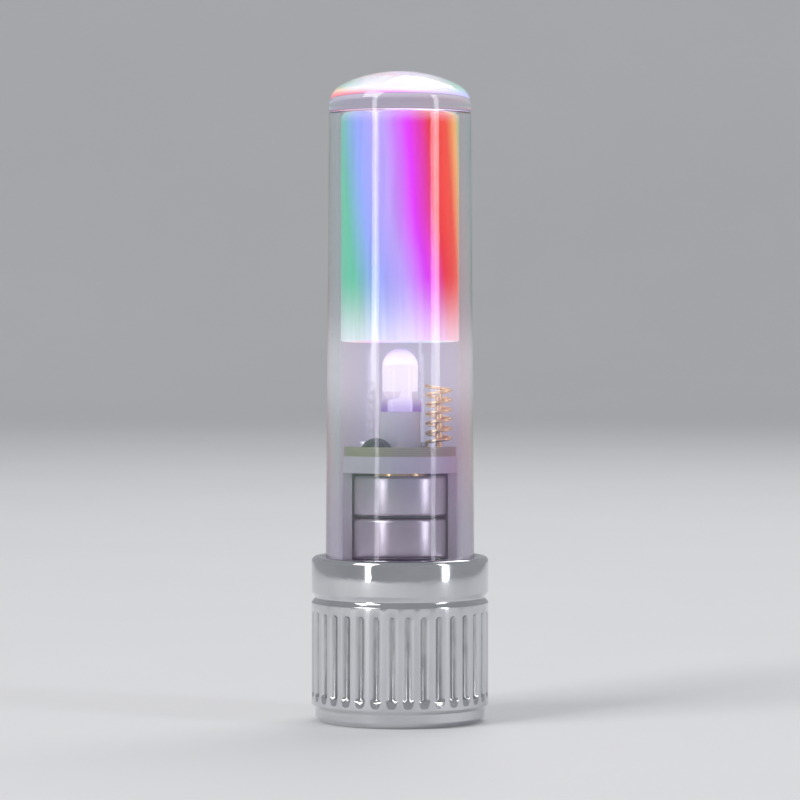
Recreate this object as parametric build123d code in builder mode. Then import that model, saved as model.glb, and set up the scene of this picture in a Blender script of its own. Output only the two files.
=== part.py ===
"""Valve cap light: a lit tube that screws on a tyre valve in place of its dust cap.

The axis is Z. The origin is in the middle of the base's bottom face, where the valve goes in,
and the lit tube points up.
"""

from build123d import *
from dataclasses import dataclass
import math
import os

# Sizes in millimetres. Each is written once, and the rest are worked out below.

# The socket for the valve
valve_bore = 7.9  # root diameter of the thread for a 7.7 mm valve stem
socket_depth = 6.5
insert_wall = 0.95
insert_recess = 0.25
insert_lead_in = 0.35
insert_groove_depth = 0.35
insert_groove_width = 1.3
valve_seal_thickness = 0.9
valve_seal_hole = 3.6
valve_seal_step = 0.3

# The base
floor_thickness = 0.8
base_wall = 1.05
base_foot_bevel = 0.45
base_foot_height = 1.5
base_foot_step = 0.3
flute_count = 34
flute_radius = 0.42
flute_depth = 0.27
flute_length = 7.2
waist_gap = 0.7
waist_width = 0.9
waist_depth = 0.35
rim_bevel = 0.35
rim_round = 0.45

# The lens and its screw thread
lit_length = 41.0  # what shows of the lens above the base
lens_wall = 1.2
lens_draft = 0.3
lens_entry = 0.6
spigot_length = 2.8
spigot_step = 0.25
spigot_clearance = 0.15
crown_rise = 1.7
crown_corner = 1.9
crown_thickness = 3.4

# The ring that seals the lens in the base
gland_height = 1.1
gland_depth = 0.68
ring_height = 0.9
ring_round = 0.34
ring_clearance = 0.02
entry_clearance = 0.15

# The cells, as button cells of the 7.9 x 3.6 kind
cell_diameter = 7.9
cell_height = 3.6
cell_count = 3
cell_corner = 0.3
cell_crimp_height = 0.25
cell_crimp_width = 0.6
cell_cap_depth = 0.75
cell_gasket_width = 0.28
cell_gasket_step = 0.14

# The carrier that holds the cells and the board
cell_clearance = 0.15
carrier_wall = 0.75
carrier_clearance = 0.25
carrier_foot_height = 0.6
carrier_foot_clearance = 0.05
carrier_seat = 0.7
flange_thickness = 0.7
flange_width = 1.1
key_width = 1.2
key_depth = 0.5
window_angle = 150.0
window_margin = 0.5
plate_thickness = 0.7
solder_room = 0.7

# The contacts
strap_width = 1.6
strap_thickness = 0.2
strap_bend = 0.3
strap_cover = 0.35
strap_clearance = 0.1
strap_tail = 0.4
strap_reach = 3.9
contact_radius = 2.6
contact_thickness = 0.2
contact_shank_radius = 0.4
contact_shank_offset = 1.9
cell_spring_wire = 0.35
cell_spring_height = 1.1
cell_spring_turns = 2.75
cell_spring_outer = 3.25
cell_spring_inner = 1.05

# The board and what stands on it
board_thickness = 0.8
board_edge_gap = 0.1
lead_clearance = 0.05
solder_width = 0.2
solder_height = 0.45
bead_width = 1.0
blob_radius = 1.2
blob_height = 0.8
blob_angle = -126.0
part_gap = 0.27
chip_length = 1.6
chip_width = 0.8
chip_height = 0.45
chip_corner = 0.12
chip_gap = 0.75
resistor_angles = (62.0, 165.0)
capacitor_angle = 113.0

# The lamp, a 3 mm round one on a stand-off
spacer_radius = 1.75
spacer_height = 3.0
led_radius = 1.5
led_height = 5.3
led_flange_radius = 1.9
led_flange_height = 1.0
led_flat_depth = 0.3
led_lead_pitch = 2.0
led_lead_size = 0.5
led_lead_tail = 0.4
led_die_height = 1.7
led_cup_radius = 0.34
led_cup_depth = 0.25
led_die_size = 0.18
led_die_pitch = 0.22
led_die_thickness = 0.12
led_cup_width = 0.38

# The motion switch, a coil that sways until it touches the pin inside it
coil_wire = 0.3
coil_radius = 1.05
coil_pitch = 0.8
coil_turns = 6.0
coil_lift = 0.25
coil_bend = 0.35
coil_leg_clearance = 0.1
switch_gap = 0.2
pin_radius = 0.3
pin_height = 4.8
pin_tail = 0.35
pin_corner = 0.15

# The light guide in the upper part of the lens
guide_clearance = 0.1
guide_lamp_gap = 0.6
guide_wall = 1.0
guide_core_radius = 1.1
guide_roof = 2.4
guide_bevel = 0.5

# Radii that follow
valve_radius = valve_bore / 2
insert_radius = valve_radius + insert_wall
cell_radius = cell_diameter / 2
carrier_inner = cell_radius + cell_clearance
carrier_outer = carrier_inner + carrier_wall
lens_bore = carrier_outer + carrier_clearance
lens_radius = lens_bore + lens_wall
lens_tip_radius = lens_radius - lens_draft
crown_radius = (lens_tip_radius**2 + crown_rise**2) / (2 * crown_rise)
spigot_radius = lens_radius - spigot_step
thread_bore = spigot_radius + spigot_clearance
seal_bore = lens_radius + entry_clearance
gland_radius = lens_radius - gland_depth
base_radius = seal_bore + base_wall
flange_radius = carrier_outer + flange_width
foot_radius = carrier_outer - carrier_foot_clearance
board_radius = carrier_outer - board_edge_gap
valve_seal_radius = insert_radius - valve_seal_step

# Heights that follow
floor_z = socket_depth + valve_seal_thickness
cup_z = floor_z + floor_thickness
ledge_z = cup_z + carrier_foot_height
spigot_z = ledge_z + flange_thickness
gland_z = spigot_z + spigot_length
lens_shoulder_z = gland_z + gland_height
base_height = lens_shoulder_z + lens_entry
seat_z = cup_z + carrier_seat
cell_spring_z = seat_z + strap_thickness
cells_z = cell_spring_z + cell_spring_height
contact_z = cells_z + cell_count * cell_height
plate_z = contact_z + contact_thickness
plate_top = plate_z + plate_thickness
board_z = plate_top + solder_room
board_top = board_z + board_thickness
led_z = board_top + spacer_height
die_z = led_z + led_die_height
led_top = led_z + led_height
tip_z = base_height + lit_length
lens_roof_z = tip_z - crown_thickness
guide_z = led_top + guide_lamp_gap

# Places on the board
switch_x = led_flange_radius + switch_gap + coil_radius + coil_wire / 2
leg_x = switch_x - coil_radius
leg_y = coil_bend
leg_hole_radius = coil_wire / 2 + coil_leg_clearance
blob_offset = spacer_radius + part_gap + blob_radius
blob_curve = (blob_radius**2 + blob_height**2) / (2 * blob_height)
chip_offset = spacer_radius + chip_gap + chip_width / 2


def ring_profile(inner, outer, low, high):
    """A rectangle in the XZ plane, to be turned about Z."""
    with Locations(((inner + outer) / 2, (low + high) / 2)):
        Rectangle(outer - inner, high - low)


def upright(x, y, z):
    """The XZ plane, moved so that its origin is at a point."""
    return Plane(origin=(x, y, z), x_dir=(1, 0, 0), z_dir=(0, -1, 0))


def biarc(start, start_direction, end, end_direction):
    """Two arcs that join two points and keep the direction at each."""
    span = end - start
    both = start_direction + end_direction
    spread = 4 - both.dot(both)
    along = span.dot(both)
    reach = (math.sqrt(along**2 + spread * span.dot(span)) - along) / spread
    middle = (start + start_direction * reach + end - end_direction * reach) * 0.5
    first = TangentArc(start, middle, tangent=start_direction)
    TangentArc(middle, end, tangent=first % 1)


@dataclass
class Coil:
    """A coil of wire round an upright line, given by the middle of the wire."""

    centre: Vector
    foot_radius: float
    top_radius: float
    turns: float
    rise: float
    first_angle: float = 0

    def point(self, turn):
        """The point so many turns up from the foot, and the direction of the wire there."""
        share = turn / self.turns
        widening = (self.top_radius - self.foot_radius) / (2 * math.pi * self.turns)
        radius = self.foot_radius + (self.top_radius - self.foot_radius) * share
        angle = math.radians(self.first_angle) + 2 * math.pi * turn
        point = Vector(radius * math.cos(angle), radius * math.sin(angle), self.rise * share)
        direction = Vector(
            widening * math.cos(angle) - radius * math.sin(angle),
            widening * math.sin(angle) + radius * math.cos(angle),
            self.rise / (2 * math.pi * self.turns),
        )
        return self.centre + point, direction.normalized()

    def draw(self):
        """The coil as arcs, a quarter turn to each pair."""
        steps = round(self.turns * 4)
        knots = [self.point(self.turns * k / steps) for k in range(steps + 1)]
        for (start, start_direction), (end, end_direction) in zip(knots, knots[1:]):
            biarc(start, start_direction, end, end_direction)


def across(line):
    """The plane across a wire at its start."""
    return Plane(origin=line @ 0, z_dir=line % 0)


def least_gap(line, wire, half_turn):
    """The least gap between lengths of the wire over half a turn apart, measured on points."""
    steps = math.ceil(line.length / (wire / 4))
    points = [line @ (k / steps) for k in range(steps + 1)]
    apart = math.ceil(half_turn / line.length * steps)
    pairs = ((points[k], far) for k in range(steps + 1) for far in points[k + apart :])
    return min((far - near).length for near, far in pairs) - wire


# Base shell: a fluted cup, plated, with the valve's socket below and the lens's thread above
flute_low = base_foot_height + waist_gap
flute_high = flute_low + flute_length
waist_z = flute_high + waist_gap + waist_width / 2
with BuildPart() as base_shell:
    with BuildSketch(Plane.XZ):
        with BuildLine():
            Polyline(
                (insert_radius, 0),
                (base_radius - base_foot_step - base_foot_bevel, 0),
                (base_radius - base_foot_step, base_foot_bevel),
                (base_radius - base_foot_step, base_foot_height - base_foot_step),
                (base_radius, base_foot_height),
                (base_radius, waist_z - waist_width / 2),
            )
            ThreePointArc(
                (base_radius, waist_z - waist_width / 2),
                (base_radius - waist_depth, waist_z),
                (base_radius, waist_z + waist_width / 2),
            )
            Polyline(
                (base_radius, waist_z + waist_width / 2),
                (base_radius, base_height - rim_round),
            )
            RadiusArc(
                (base_radius, base_height - rim_round),
                (base_radius - rim_round, base_height),
                -rim_round,
            )
            Polyline(
                (base_radius - rim_round, base_height),
                (seal_bore + rim_bevel, base_height),
                (seal_bore, base_height - rim_bevel),
                (seal_bore, gland_z),
                (thread_bore, gland_z),
                (thread_bore, ledge_z),
                (carrier_outer, ledge_z),
                (carrier_outer, cup_z),
                (0, cup_z),
                (0, floor_z),
                (valve_seal_radius, floor_z),
                (valve_seal_radius, socket_depth),
                (insert_radius, socket_depth),
                (insert_radius, (socket_depth + insert_groove_width) / 2),
                (insert_radius - insert_groove_depth, (socket_depth + insert_groove_width) / 2),
                (insert_radius - insert_groove_depth, (socket_depth - insert_groove_width) / 2),
                (insert_radius, (socket_depth - insert_groove_width) / 2),
                (insert_radius, 0),
            )
        make_face()
    revolve()
    with BuildSketch(Plane.XY.offset(flute_low)):
        with PolarLocations(base_radius + flute_radius - flute_depth, flute_count):
            Circle(flute_radius)
    extrude(amount=flute_length, mode=Mode.SUBTRACT)
    with BuildSketch(Plane.XY.offset(cup_z)):
        with Locations((0, -(foot_radius + key_depth + carrier_foot_clearance))):
            Rectangle(
                key_width + 2 * carrier_foot_clearance,
                2 * key_depth,
                align=(Align.CENTER, Align.MIN),
            )
    extrude(amount=carrier_foot_height, mode=Mode.SUBTRACT)

# Brass insert with the valve's thread, moulded into the base by its groove
with BuildPart() as valve_insert:
    with BuildSketch(Plane.XZ):
        with BuildLine():
            Polyline(
                (valve_radius + insert_lead_in, insert_recess),
                (insert_radius, insert_recess),
                (insert_radius, (socket_depth - insert_groove_width) / 2),
                (insert_radius - insert_groove_depth, (socket_depth - insert_groove_width) / 2),
                (insert_radius - insert_groove_depth, (socket_depth + insert_groove_width) / 2),
                (insert_radius, (socket_depth + insert_groove_width) / 2),
                (insert_radius, socket_depth),
                (valve_radius, socket_depth),
                (valve_radius, insert_recess + insert_lead_in),
                close=True,
            )
        make_face()
    revolve()

# Rubber washer that the valve's end presses on
with BuildPart() as valve_seal:
    with BuildSketch(Plane.XZ):
        ring_profile(valve_seal_hole / 2, valve_seal_radius, socket_depth, floor_z)
    revolve()

# Lens: a drafted tube with a low crown, its threaded spigot and the gland for the ring
with BuildPart() as lens:
    with BuildSketch(Plane.XZ) as lens_profile:
        with BuildLine():
            Polyline(
                (0, lens_roof_z),
                (lens_bore, lens_roof_z),
                (lens_bore, spigot_z),
                (spigot_radius, spigot_z),
                (spigot_radius, gland_z),
                (gland_radius, gland_z),
                (gland_radius, lens_shoulder_z),
                (lens_radius, lens_shoulder_z),
                (lens_tip_radius, tip_z - crown_rise),
            )
            RadiusArc((lens_tip_radius, tip_z - crown_rise), (0, tip_z), -crown_radius)
            Line((0, tip_z), (0, lens_roof_z))
        make_face()
        corner = lens_profile.vertices().sort_by_distance((lens_tip_radius, tip_z - crown_rise))[0]
        fillet(corner, crown_corner)
    revolve()

# Ring that seals the lens in the base, drawn as squeezed in its gland
with BuildPart() as lens_seal:
    with BuildSketch(Plane.XZ):
        ring_inner = gland_radius + ring_clearance
        ring_outer = seal_bore - ring_clearance
        with Locations(((ring_inner + ring_outer) / 2, gland_z + gland_height / 2)):
            RectangleRounded(ring_outer - ring_inner, ring_height, ring_round)
    revolve()

# Light guide: a cored rod whose wall thickens upwards, so that it glows evenly
with BuildPart() as light_guide:
    guide_radius = lens_bore - guide_clearance
    with BuildSketch(Plane.XZ):
        with BuildLine():
            Polyline(
                (guide_radius - guide_wall, guide_z),
                (guide_radius, guide_z),
                (guide_radius, lens_roof_z - guide_bevel),
                (guide_radius - guide_bevel, lens_roof_z),
                (0, lens_roof_z),
                (0, lens_roof_z - guide_roof),
                (guide_core_radius, lens_roof_z - guide_roof),
                close=True,
            )
        make_face()
    revolve()

# Carrier: foot, flange, an open cage for the cells, and the rim that the board stands on
slot_width = strap_width + 2 * strap_clearance
strap_outer = carrier_inner + strap_cover + strap_clearance + strap_thickness
with BuildPart() as cell_carrier:
    with BuildSketch(Plane.XY.offset(cup_z)):
        Circle(foot_radius)
        with Locations((0, -foot_radius)):
            Rectangle(key_width, 2 * key_depth)
    extrude(amount=carrier_foot_height)
    with BuildSketch(Plane.XY.offset(ledge_z)):
        Circle(flange_radius)
    extrude(amount=flange_thickness)
    with BuildSketch(Plane.XY.offset(ledge_z)):
        Circle(carrier_outer)
    extrude(amount=board_z - ledge_z)
    with BuildSketch(Plane.XY.offset(seat_z)):
        Circle(carrier_inner)
    extrude(amount=plate_z - seat_z, mode=Mode.SUBTRACT)
    with BuildSketch(Plane.XY.offset(plate_top)):
        Circle(carrier_inner)
    extrude(amount=solder_room, mode=Mode.SUBTRACT)
    # The window is open to the front, a little less than half the way round, so the cells snap in
    with BuildSketch(Plane.XY.offset(cell_spring_z + window_margin)):
        reach = 2 * carrier_outer
        half_window = math.radians(window_angle / 2)
        with BuildLine():
            Polyline(
                (0, 0),
                (-reach * math.sin(half_window), -reach * math.cos(half_window)),
                (-reach * math.sin(half_window), -reach),
                (reach * math.sin(half_window), -reach),
                (reach * math.sin(half_window), -reach * math.cos(half_window)),
                close=True,
            )
        make_face()
    extrude(amount=plate_z - cell_spring_z - window_margin, mode=Mode.SUBTRACT)
    # Channel for the strap, outside the cage's back wall, and its way in below the cells
    with BuildSketch(Plane.XY.offset(seat_z)):
        with Locations((0, carrier_inner + strap_cover)):
            Rectangle(slot_width, carrier_wall, align=(Align.CENTER, Align.MIN))
    extrude(amount=board_z - seat_z, mode=Mode.SUBTRACT)
    with BuildSketch(Plane.XY.offset(seat_z)):
        Rectangle(slot_width, strap_outer, align=(Align.CENTER, Align.MIN))
    extrude(amount=strap_thickness + strap_clearance + strap_bend, mode=Mode.SUBTRACT)
    # Hole in the top plate for the contact's shank
    with BuildSketch(Plane.XY.offset(plate_z)):
        with Locations((0, -contact_shank_offset)):
            Circle(contact_shank_radius + lead_clearance)
    extrude(amount=plate_thickness, mode=Mode.SUBTRACT)

# Strap: from under the cell spring, out and up the cage's back, to the board's edge
with BuildPart() as negative_strap:
    with BuildSketch(Plane.YZ):
        with BuildLine():
            corner_y = strap_outer - strap_thickness / 2
            corner_z = seat_z + strap_thickness / 2
            top_z = board_top + strap_tail
            FilletPolyline(
                (-strap_reach, corner_z),
                (corner_y, corner_z),
                (corner_y, top_z),
                radius=strap_bend,
            )
        trace(line_width=strap_thickness)
    extrude(amount=strap_width / 2, both=True)

# Conical spring under the cells
with BuildPart() as negative_spring:
    with BuildLine() as cell_spring_line:
        Coil(
            centre=Vector(0, 0, cell_spring_z + cell_spring_wire / 2),
            foot_radius=cell_spring_outer,
            top_radius=cell_spring_inner,
            turns=cell_spring_turns,
            rise=cell_spring_height - cell_spring_wire,
        ).draw()
    with BuildSketch(across(cell_spring_line.wire())):
        Circle(cell_spring_wire / 2)
    sweep()

# Cells: each is a can with its cap, negative end down, and the gasket between them
cells = []
for n in range(cell_count):
    cell_z = cells_z + n * cell_height
    with BuildPart() as cell:
        with BuildSketch(Plane.XZ):
            with BuildLine():
                Polyline(
                    (0, cell_z + cell_cap_depth),
                    (cell_radius - cell_crimp_width, cell_z + cell_cap_depth),
                    (cell_radius - cell_crimp_width, cell_z + cell_crimp_height),
                    (cell_radius - cell_corner, cell_z + cell_crimp_height),
                )
                RadiusArc(
                    (cell_radius - cell_corner, cell_z + cell_crimp_height),
                    (cell_radius, cell_z + cell_crimp_height + cell_corner),
                    -cell_corner,
                )
                Line(
                    (cell_radius, cell_z + cell_crimp_height + cell_corner),
                    (cell_radius, cell_z + cell_height - cell_corner),
                )
                RadiusArc(
                    (cell_radius, cell_z + cell_height - cell_corner),
                    (cell_radius - cell_corner, cell_z + cell_height),
                    -cell_corner,
                )
                Polyline(
                    (cell_radius - cell_corner, cell_z + cell_height),
                    (0, cell_z + cell_height),
                    (0, cell_z + cell_cap_depth),
                )
            make_face()
        revolve()
        with BuildSketch(Plane.XY.offset(cell_z)):
            Circle(cell_radius - cell_crimp_width - cell_gasket_width)
        extrude(amount=cell_cap_depth)
    cells.append(cell)

with BuildPart() as cell_gaskets:
    for n in range(cell_count):
        cell_z = cells_z + n * cell_height
        with BuildSketch(Plane.XZ):
            ring_profile(
                cell_radius - cell_crimp_width - cell_gasket_width,
                cell_radius - cell_crimp_width,
                cell_z + cell_gasket_step,
                cell_z + cell_cap_depth,
            )
    revolve()

# Contact on top of the cells, with a shank up through the board
with BuildPart() as positive_contact:
    with BuildSketch(Plane.XY.offset(contact_z)):
        Circle(contact_radius)
    extrude(amount=contact_thickness)
    with BuildSketch(Plane.XY.offset(plate_z)):
        with Locations((0, -contact_shank_offset)):
            Circle(contact_shank_radius)
    extrude(amount=board_top - plate_z)

# Board
lead_points = [(-led_lead_pitch / 2, 0), (led_lead_pitch / 2, 0)]
lead_hole_radius = led_lead_size / math.sqrt(2) + lead_clearance
with BuildPart() as circuit_board:
    with BuildSketch(Plane.XY.offset(board_z)):
        Circle(board_radius)
        with Locations(*lead_points):
            Circle(lead_hole_radius, mode=Mode.SUBTRACT)
        with Locations((switch_x, 0)):
            Circle(pin_radius + lead_clearance, mode=Mode.SUBTRACT)
        with Locations((leg_x, leg_y)):
            Circle(leg_hole_radius, mode=Mode.SUBTRACT)
        with Locations((0, -contact_shank_offset)):
            Circle(contact_shank_radius + lead_clearance, mode=Mode.SUBTRACT)
        with Locations((0, strap_outer - strap_thickness - strap_clearance)):
            Rectangle(slot_width, carrier_wall, align=(Align.CENTER, Align.MIN), mode=Mode.SUBTRACT)
    extrude(amount=board_thickness)

# Solder: cones under the board, round each lead and leg, and a bead inside the strap's end
with BuildPart() as solder_joints:
    soldered = [(x, y, led_lead_size / math.sqrt(2)) for x, y in lead_points]
    soldered.append((switch_x, 0, pin_radius))
    soldered.append((leg_x, leg_y, leg_hole_radius))
    soldered.append((0, -contact_shank_offset, contact_shank_radius))
    for x, y, radius in soldered:
        with BuildSketch(upright(x, y, board_z)):
            with BuildLine():
                Polyline(
                    (radius, 0),
                    (radius + solder_width, 0),
                    (radius, -solder_height),
                    close=True,
                )
            make_face()
        revolve(axis=Axis((x, y, board_z), (0, 0, 1)))
    with BuildSketch(Plane.YZ):
        with BuildLine():
            bead_y = strap_outer - strap_thickness
            Polyline(
                (bead_y, board_top + strap_tail),
                (bead_y, board_top),
                (bead_y - strap_clearance - solder_height, board_top),
                close=True,
            )
        make_face()
    extrude(amount=bead_width / 2, both=True)

# Controller under its drop of epoxy
with BuildPart() as controller_blob:
    blob_x = blob_offset * math.cos(math.radians(blob_angle))
    blob_y = blob_offset * math.sin(math.radians(blob_angle))
    with BuildSketch(upright(blob_x, blob_y, board_top)):
        with BuildLine():
            RadiusArc((blob_radius, 0), (0, blob_height), -blob_curve)
            Polyline((0, blob_height), (0, 0), (blob_radius, 0))
        make_face()
    revolve(axis=Axis((blob_x, blob_y, board_top), (0, 0, 1)))

# Chips soldered on the board's top
with BuildPart() as chip_resistors:
    with BuildSketch(Plane.XY.offset(board_top)):
        for angle in resistor_angles:
            with PolarLocations(chip_offset, 1, start_angle=angle):
                Rectangle(chip_width, chip_length)
    extrude(amount=chip_height)

with BuildPart() as chip_capacitor:
    with BuildSketch(Plane.XY.offset(board_top)):
        with PolarLocations(chip_offset, 1, start_angle=capacitor_angle):
            Rectangle(chip_width, chip_length)
    extrude(amount=chip_height)
    fillet(chip_capacitor.edges().filter_by(Axis.Z), chip_corner)

# Stand-off that lifts the lamp to its height
with BuildPart() as led_spacer:
    with BuildSketch(Plane.XY.offset(board_top)):
        Circle(spacer_radius)
        with Locations(*lead_points):
            Circle(lead_hole_radius, mode=Mode.SUBTRACT)
    extrude(amount=spacer_height)

# Lead frame: the anvil with its cup on one leg, the post on the other
with BuildPart() as led_leads:
    lead_x = led_lead_pitch / 2
    half_lead = led_lead_size / 2
    lead_low = board_z - led_lead_tail
    cup_x = -lead_x + half_lead + led_cup_radius
    with BuildSketch(Plane.XZ):
        with BuildLine():
            Polyline(
                (-lead_x - half_lead, lead_low),
                (-lead_x - half_lead, die_z),
                (cup_x + led_cup_radius + half_lead / 2, die_z),
                (cup_x + led_cup_radius, die_z - led_cup_depth - half_lead),
                (-lead_x + half_lead, die_z - led_cup_depth - led_lead_size),
                (-lead_x + half_lead, lead_low),
                close=True,
            )
        make_face()
        with Locations((lead_x, (lead_low + die_z) / 2)):
            Rectangle(led_lead_size, die_z - lead_low)
    extrude(amount=half_lead, both=True)
    with BuildSketch(Plane.XY.offset(die_z - led_cup_depth)):
        with Locations((cup_x, 0)):
            Rectangle(2 * led_cup_radius, led_cup_width)
    extrude(amount=led_cup_depth, mode=Mode.SUBTRACT)

# The lamp's three dies, side by side in the cup
with BuildPart() as led_dies:
    with BuildSketch(Plane.XY.offset(die_z - led_cup_depth)):
        with Locations((cup_x, 0)):
            with GridLocations(led_die_pitch, 0, 3, 1):
                Rectangle(led_die_size, led_die_size)
    extrude(amount=led_die_thickness)

# The lamp's clear epoxy body, cast round the lead frame
with BuildPart() as led_body:
    with BuildSketch(Plane.XZ):
        with BuildLine():
            Polyline(
                (0, led_top),
                (0, led_z),
                (led_flange_radius, led_z),
                (led_flange_radius, led_z + led_flange_height),
                (led_radius, led_z + led_flange_height),
                (led_radius, led_top - led_radius),
            )
            RadiusArc((led_radius, led_top - led_radius), (0, led_top), -led_radius)
        make_face()
    revolve()
    with BuildSketch(Plane.XY.offset(led_z)):
        with Locations((-led_flange_radius, 0)):
            Rectangle(2 * led_flat_depth, 2 * led_flange_radius)
    extrude(amount=led_flange_height, mode=Mode.SUBTRACT)
    add(led_leads.part, mode=Mode.SUBTRACT)
    add(led_dies.part, mode=Mode.SUBTRACT)

# Motion switch: a fixed pin, and the coil that sways round it
with BuildPart() as motion_pin:
    with BuildSketch(Plane.XY.offset(board_z - pin_tail)):
        with Locations((switch_x, 0)):
            Circle(pin_radius)
    extrude(amount=pin_tail + board_thickness + pin_height)
    fillet(motion_pin.edges().sort_by(Axis.Z)[-1], pin_corner)

coil_z = board_top + coil_lift + coil_wire / 2
leg_top = Vector(leg_x, leg_y, coil_z - coil_bend)
with BuildPart() as motion_spring:
    coil = Coil(
        centre=Vector(switch_x, 0, coil_z),
        foot_radius=coil_radius,
        top_radius=coil_radius,
        turns=coil_turns,
        rise=coil_pitch * coil_turns,
        first_angle=180,
    )
    with BuildLine() as coil_line:
        Line((leg_x, leg_y, board_z), leg_top)
        biarc(leg_top, Vector(0, 0, 1), *coil.point(0))
        coil.draw()
    with BuildSketch(across(coil_line.wire())):
        Circle(coil_wire / 2)
    sweep()

cell_spring_gap = least_gap(cell_spring_line.wire(), cell_spring_wire, math.pi * cell_spring_inner)
coil_gap = least_gap(coil_line.wire(), coil_wire, math.pi * coil_radius)
print("least gap in the spring under the cells", round(cell_spring_gap, 3))
print("least gap in the coil of the motion switch", round(coil_gap, 3))

pieces = {
    "base_shell": base_shell,
    "valve_insert": valve_insert,
    "valve_seal": valve_seal,
    "lens": lens,
    "lens_seal": lens_seal,
    "light_guide": light_guide,
    "cell_carrier": cell_carrier,
    "negative_strap": negative_strap,
    "negative_spring": negative_spring,
    "cell_gaskets": cell_gaskets,
    "positive_contact": positive_contact,
    "circuit_board": circuit_board,
    "solder_joints": solder_joints,
    "controller_blob": controller_blob,
    "chip_resistors": chip_resistors,
    "chip_capacitor": chip_capacitor,
    "led_spacer": led_spacer,
    "led_leads": led_leads,
    "led_dies": led_dies,
    "led_body": led_body,
    "motion_pin": motion_pin,
    "motion_spring": motion_spring,
}
for n, cell in enumerate(cells, start=1):
    pieces[f"cell_{n}"] = cell

os.makedirs("parts", exist_ok=True)
for name, piece in pieces.items():
    piece.part.label = name
    export_step(piece.part, f"parts/{name}.step")
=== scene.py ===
import math

import bmesh
import bpy
from mathutils import Matrix, Vector


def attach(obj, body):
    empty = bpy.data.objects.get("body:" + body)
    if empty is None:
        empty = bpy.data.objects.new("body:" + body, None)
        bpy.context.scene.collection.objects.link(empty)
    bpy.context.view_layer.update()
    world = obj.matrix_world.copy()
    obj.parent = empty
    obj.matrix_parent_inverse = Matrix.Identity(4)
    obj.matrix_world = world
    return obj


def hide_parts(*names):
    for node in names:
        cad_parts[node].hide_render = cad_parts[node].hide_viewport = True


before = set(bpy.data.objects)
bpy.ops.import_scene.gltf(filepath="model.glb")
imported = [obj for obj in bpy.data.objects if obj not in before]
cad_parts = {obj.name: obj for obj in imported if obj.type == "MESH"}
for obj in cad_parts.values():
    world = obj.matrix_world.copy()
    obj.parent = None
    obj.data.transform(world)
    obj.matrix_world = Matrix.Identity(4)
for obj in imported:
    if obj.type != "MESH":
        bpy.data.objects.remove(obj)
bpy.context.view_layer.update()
scene = bpy.context.scene
mm = 0.001
fullTurn = 2 * math.pi
print("frame loaded")


# Shader helpers. Lengths in the materials are in millimetres.

class Value:
    # an output socket; arithmetic on it adds Math nodes
    def __init__(self, paint, socket):
        self.paint = paint
        self.socket = socket

    def math(self, operation, *others):
        return self.paint.node("Math", {"operation": operation}, dict(enumerate((self, *others))))

    def __add__(self, other):
        return self.math("ADD", other)

    def __radd__(self, other):
        return self.math("ADD", other)

    def __sub__(self, other):
        return self.math("SUBTRACT", other)

    def __rsub__(self, other):
        return self.paint.node("Math", {"operation": "SUBTRACT"}, {0: other, 1: self})

    def __mul__(self, other):
        return self.math("MULTIPLY", other)

    def __truediv__(self, other):
        return self.math("DIVIDE", other)

    def __pow__(self, other):
        return self.math("POWER", other)

    def ramp(self, low, high):
        # 0 up to low, 1 from high, smooth between; low may be the larger
        settings = {"interpolation_type": "SMOOTHSTEP"}
        return self.paint.node("MapRange", settings, {0: self, 1: low, 2: high, 3: 0.0, 4: 1.0})

    def band(self, low, high, edge):
        # 1 between low and high, fading over edge on each side
        return self.ramp(low - edge, low) * self.ramp(high + edge, high)


class Paint:
    # one material, with the one method that adds its nodes
    def __init__(self, name):
        self.material = bpy.data.materials.new(name)
        self.material.use_nodes = True
        self.tree = self.material.node_tree
        self.tree.nodes.clear()
        place = self.node("TexCoord", output="Object")
        self.coords = self.node("VectorMath", {"operation": "SCALE"}, {0: place, "Scale": 1 / mm})

    def node(self, kind, settings=None, sockets=None, output=0):
        made = self.tree.nodes.new("ShaderNode" + kind)
        for name, setting in (settings or {}).items():
            if name == "stops":
                self.fillRamp(made.color_ramp.elements, setting)
            else:
                setattr(made, name, setting)
        for name, value in (sockets or {}).items():
            if isinstance(value, Value):
                self.tree.links.new(value.socket, made.inputs[name])
            else:
                made.inputs[name].default_value = value
        return Value(self, made.outputs[output]) if made.outputs else None

    def fillRamp(self, elements, stops):
        for stop in stops[1:-1]:
            elements.new(stop[0])
        for element, (place, colour) in zip(elements, stops):
            element.position = place
            element.color = (*colour, 1)

    def xyz(self):
        split = self.node("SeparateXYZ", sockets={0: self.coords}).socket.node
        return [Value(self, socket) for socket in split.outputs]

    def height(self):
        return self.xyz()[2]

    def radiusSquared(self):
        # from the light's axis
        x, y, z = self.xyz()
        return x * x + y * y

    def radius(self):
        return self.radiusSquared() ** 0.5

    def noise(self, scale, detail=3.0, stretch=(1, 1, 1)):
        coords = self.node("VectorMath", {"operation": "MULTIPLY"}, {0: self.coords, 1: stretch})
        return self.node("TexNoise", sockets={"Vector": coords, "Scale": scale, "Detail": detail})

    def mix(self, factor, first, second):
        first, second = ((*c, 1) if isinstance(c, tuple) else c for c in (first, second))
        return self.node("Mix", {"data_type": "RGBA"}, {0: factor, 6: first, 7: second}, output=2)

    def bump(self, height, depth):
        return self.node("Bump", sockets={"Height": height, "Distance": depth * mm})

    def surface(self, sockets):
        sockets = {name: (*v, 1) if isinstance(v, tuple) else v for name, v in sockets.items()}
        shader = self.node("BsdfPrincipled", sockets=sockets)
        self.node("OutputMaterial", sockets={"Surface": shader})
        return self.material


# Mesh helpers. Outlines are in millimetres, as (radius, height), with a third number
# where the corner is rounded.

mergeDistance = 1e-7  # metres
weldDistance = 1e-6  # metres
sharpAngle = 32  # degrees; edges at a greater angle stay sharp


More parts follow.
